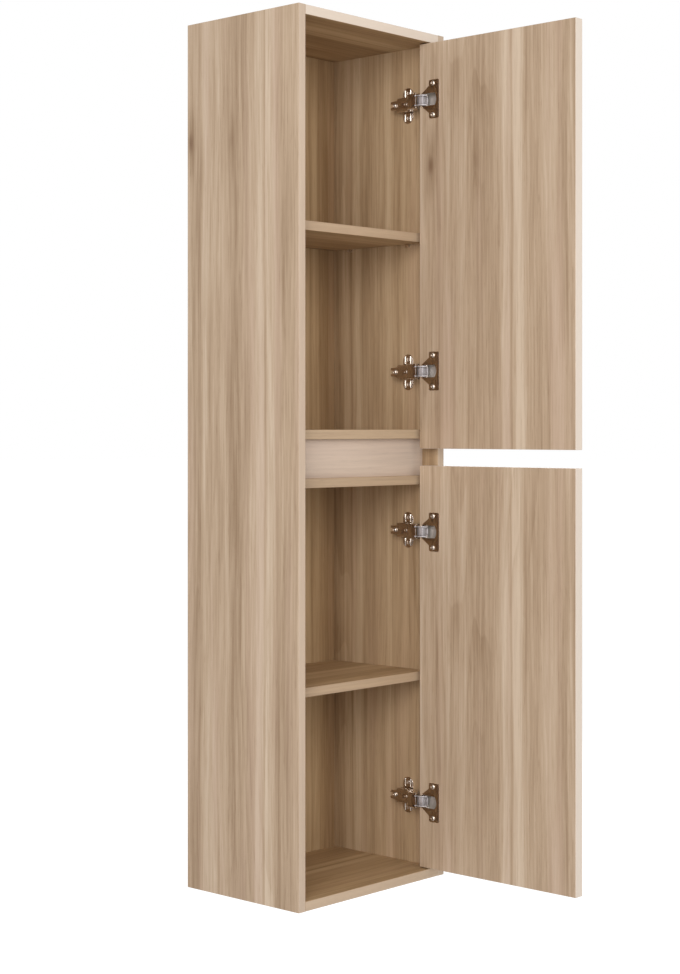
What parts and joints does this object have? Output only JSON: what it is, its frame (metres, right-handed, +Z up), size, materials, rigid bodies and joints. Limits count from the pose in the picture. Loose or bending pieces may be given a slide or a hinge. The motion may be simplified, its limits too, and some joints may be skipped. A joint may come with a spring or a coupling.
{
  "type": "tall bathroom cabinet",
  "caption": "Tall narrow wall-hung bathroom cabinet in wood-print board, with inset doors above and below a finger recess, cup hinges on the right side and open shelf compartments behind.",
  "frame": {"origin": "on the wall plane, midway between the two bolt holes of the wall rail", "axes": "+Z up, +Y into the wall, so the doors face -Y; +X is to the right seen from the front"},
  "size_m": [0.35, 0.5485, 1.4],
  "materials": {
    "melamine_board": "satin wood-print melamine",
    "door_board": "satin wood-print melamine",
    "back_board": "satin wood-print melamine on hardboard",
    "beech": "raw turned wood",
    "pin_steel": "zinc plated",
    "rail_steel": "galvanised sheet",
    "hinge_nickel": "bright nickel plate",
    "cup_nickel": "bright nickel plate",
    "link_steel": "nickel-plated pressed steel",
    "screw_steel": "zinc plated"
  },
  "bodies": {
    "carcase": {"left_side_panel": "melamine_board", "right_side_panel": "melamine_board", "top_panel": "melamine_board", "bottom_panel": "melamine_board", "upper_fixed_shelf": "melamine_board", "lower_fixed_shelf": "melamine_board", "finger_recess_panel": "melamine_board", "upper_shelf": "melamine_board", "lower_shelf": "melamine_board", "back_panel": "back_board", "carcase_dowels": "beech", "upper_shelf_pins": "pin_steel", "lower_shelf_pins": "pin_steel", "wall_rail": "rail_steel", "hanging_rail": "rail_steel", "hanging_rail_screws": "screw_steel", "upper_top_hinge_plate": "hinge_nickel", "upper_top_hinge_arm": "hinge_nickel", "upper_bottom_hinge_plate": "hinge_nickel", "upper_bottom_hinge_arm": "hinge_nickel", "lower_top_hinge_plate": "hinge_nickel", "lower_top_hinge_arm": "hinge_nickel", "lower_bottom_hinge_plate": "hinge_nickel", "lower_bottom_hinge_arm": "hinge_nickel", "hinge_plate_screws": "screw_steel", "hinge_clamp_screws": "screw_steel", "hinge_adjusting_screws": "screw_steel", "hinge_arm_rivets": "screw_steel"},
    "upper_door": {"upper_door": "door_board", "upper_top_hinge_cup": "cup_nickel", "upper_bottom_hinge_cup": "cup_nickel", "upper_cup_screws": "screw_steel", "upper_cup_pins": "screw_steel"},
    "lower_door": {"lower_door": "door_board", "lower_top_hinge_cup": "cup_nickel", "lower_bottom_hinge_cup": "cup_nickel", "lower_cup_screws": "screw_steel", "lower_cup_pins": "screw_steel"},
    "upper_outer_links": {"upper_top_hinge_outer_link": "link_steel", "upper_bottom_hinge_outer_link": "link_steel"},
    "upper_inner_links": {"upper_top_hinge_inner_link": "link_steel", "upper_bottom_hinge_inner_link": "link_steel"},
    "lower_outer_links": {"lower_top_hinge_outer_link": "link_steel", "lower_bottom_hinge_outer_link": "link_steel"},
    "lower_inner_links": {"lower_top_hinge_inner_link": "link_steel", "lower_bottom_hinge_inner_link": "link_steel"}
  },
  "joints": [
    {"name": "upper_door_hinge", "type": "hinge", "parent": "upper_outer_links", "child": "upper_door", "pos_m": [0.1405, -0.243, -0.29263], "axis": [0, 0, 1], "range_deg": [-118.33, 0]},
    {"name": "upper_outer_link_swing", "type": "hinge", "parent": "carcase", "child": "upper_outer_links", "pos_m": [0.13609, -0.22713, -0.29263], "axis": [0, 0, 1], "range_deg": [0, 28.4]},
    {"name": "upper_inner_link_swing", "type": "hinge", "parent": "carcase", "child": "upper_inner_links", "pos_m": [0.12685, -0.22843, -0.29263], "axis": [0, 0, 1], "range_deg": [0, 43.1]},
    {"name": "lower_door_hinge", "type": "hinge", "parent": "lower_outer_links", "child": "lower_door", "pos_m": [0.1405, -0.243, -0.98987], "axis": [0, 0, 1], "range_deg": [-118.33, 0]},
    {"name": "lower_outer_link_swing", "type": "hinge", "parent": "carcase", "child": "lower_outer_links", "pos_m": [0.13609, -0.22713, -0.98987], "axis": [0, 0, 1], "range_deg": [0, 28.4]},
    {"name": "lower_inner_link_swing", "type": "hinge", "parent": "carcase", "child": "lower_inner_links", "pos_m": [0.12685, -0.22843, -0.98987], "axis": [0, 0, 1], "range_deg": [0, 43.1]}
  ],
  "couplings": [
    {"joint": "upper_outer_link_swing", "follows": "upper_door_hinge", "ratio": -0.23943},
    {"joint": "upper_inner_link_swing", "follows": "upper_door_hinge", "ratio": -0.36372},
    {"joint": "lower_outer_link_swing", "follows": "lower_door_hinge", "ratio": -0.23943},
    {"joint": "lower_inner_link_swing", "follows": "lower_door_hinge", "ratio": -0.36372}
  ]
}
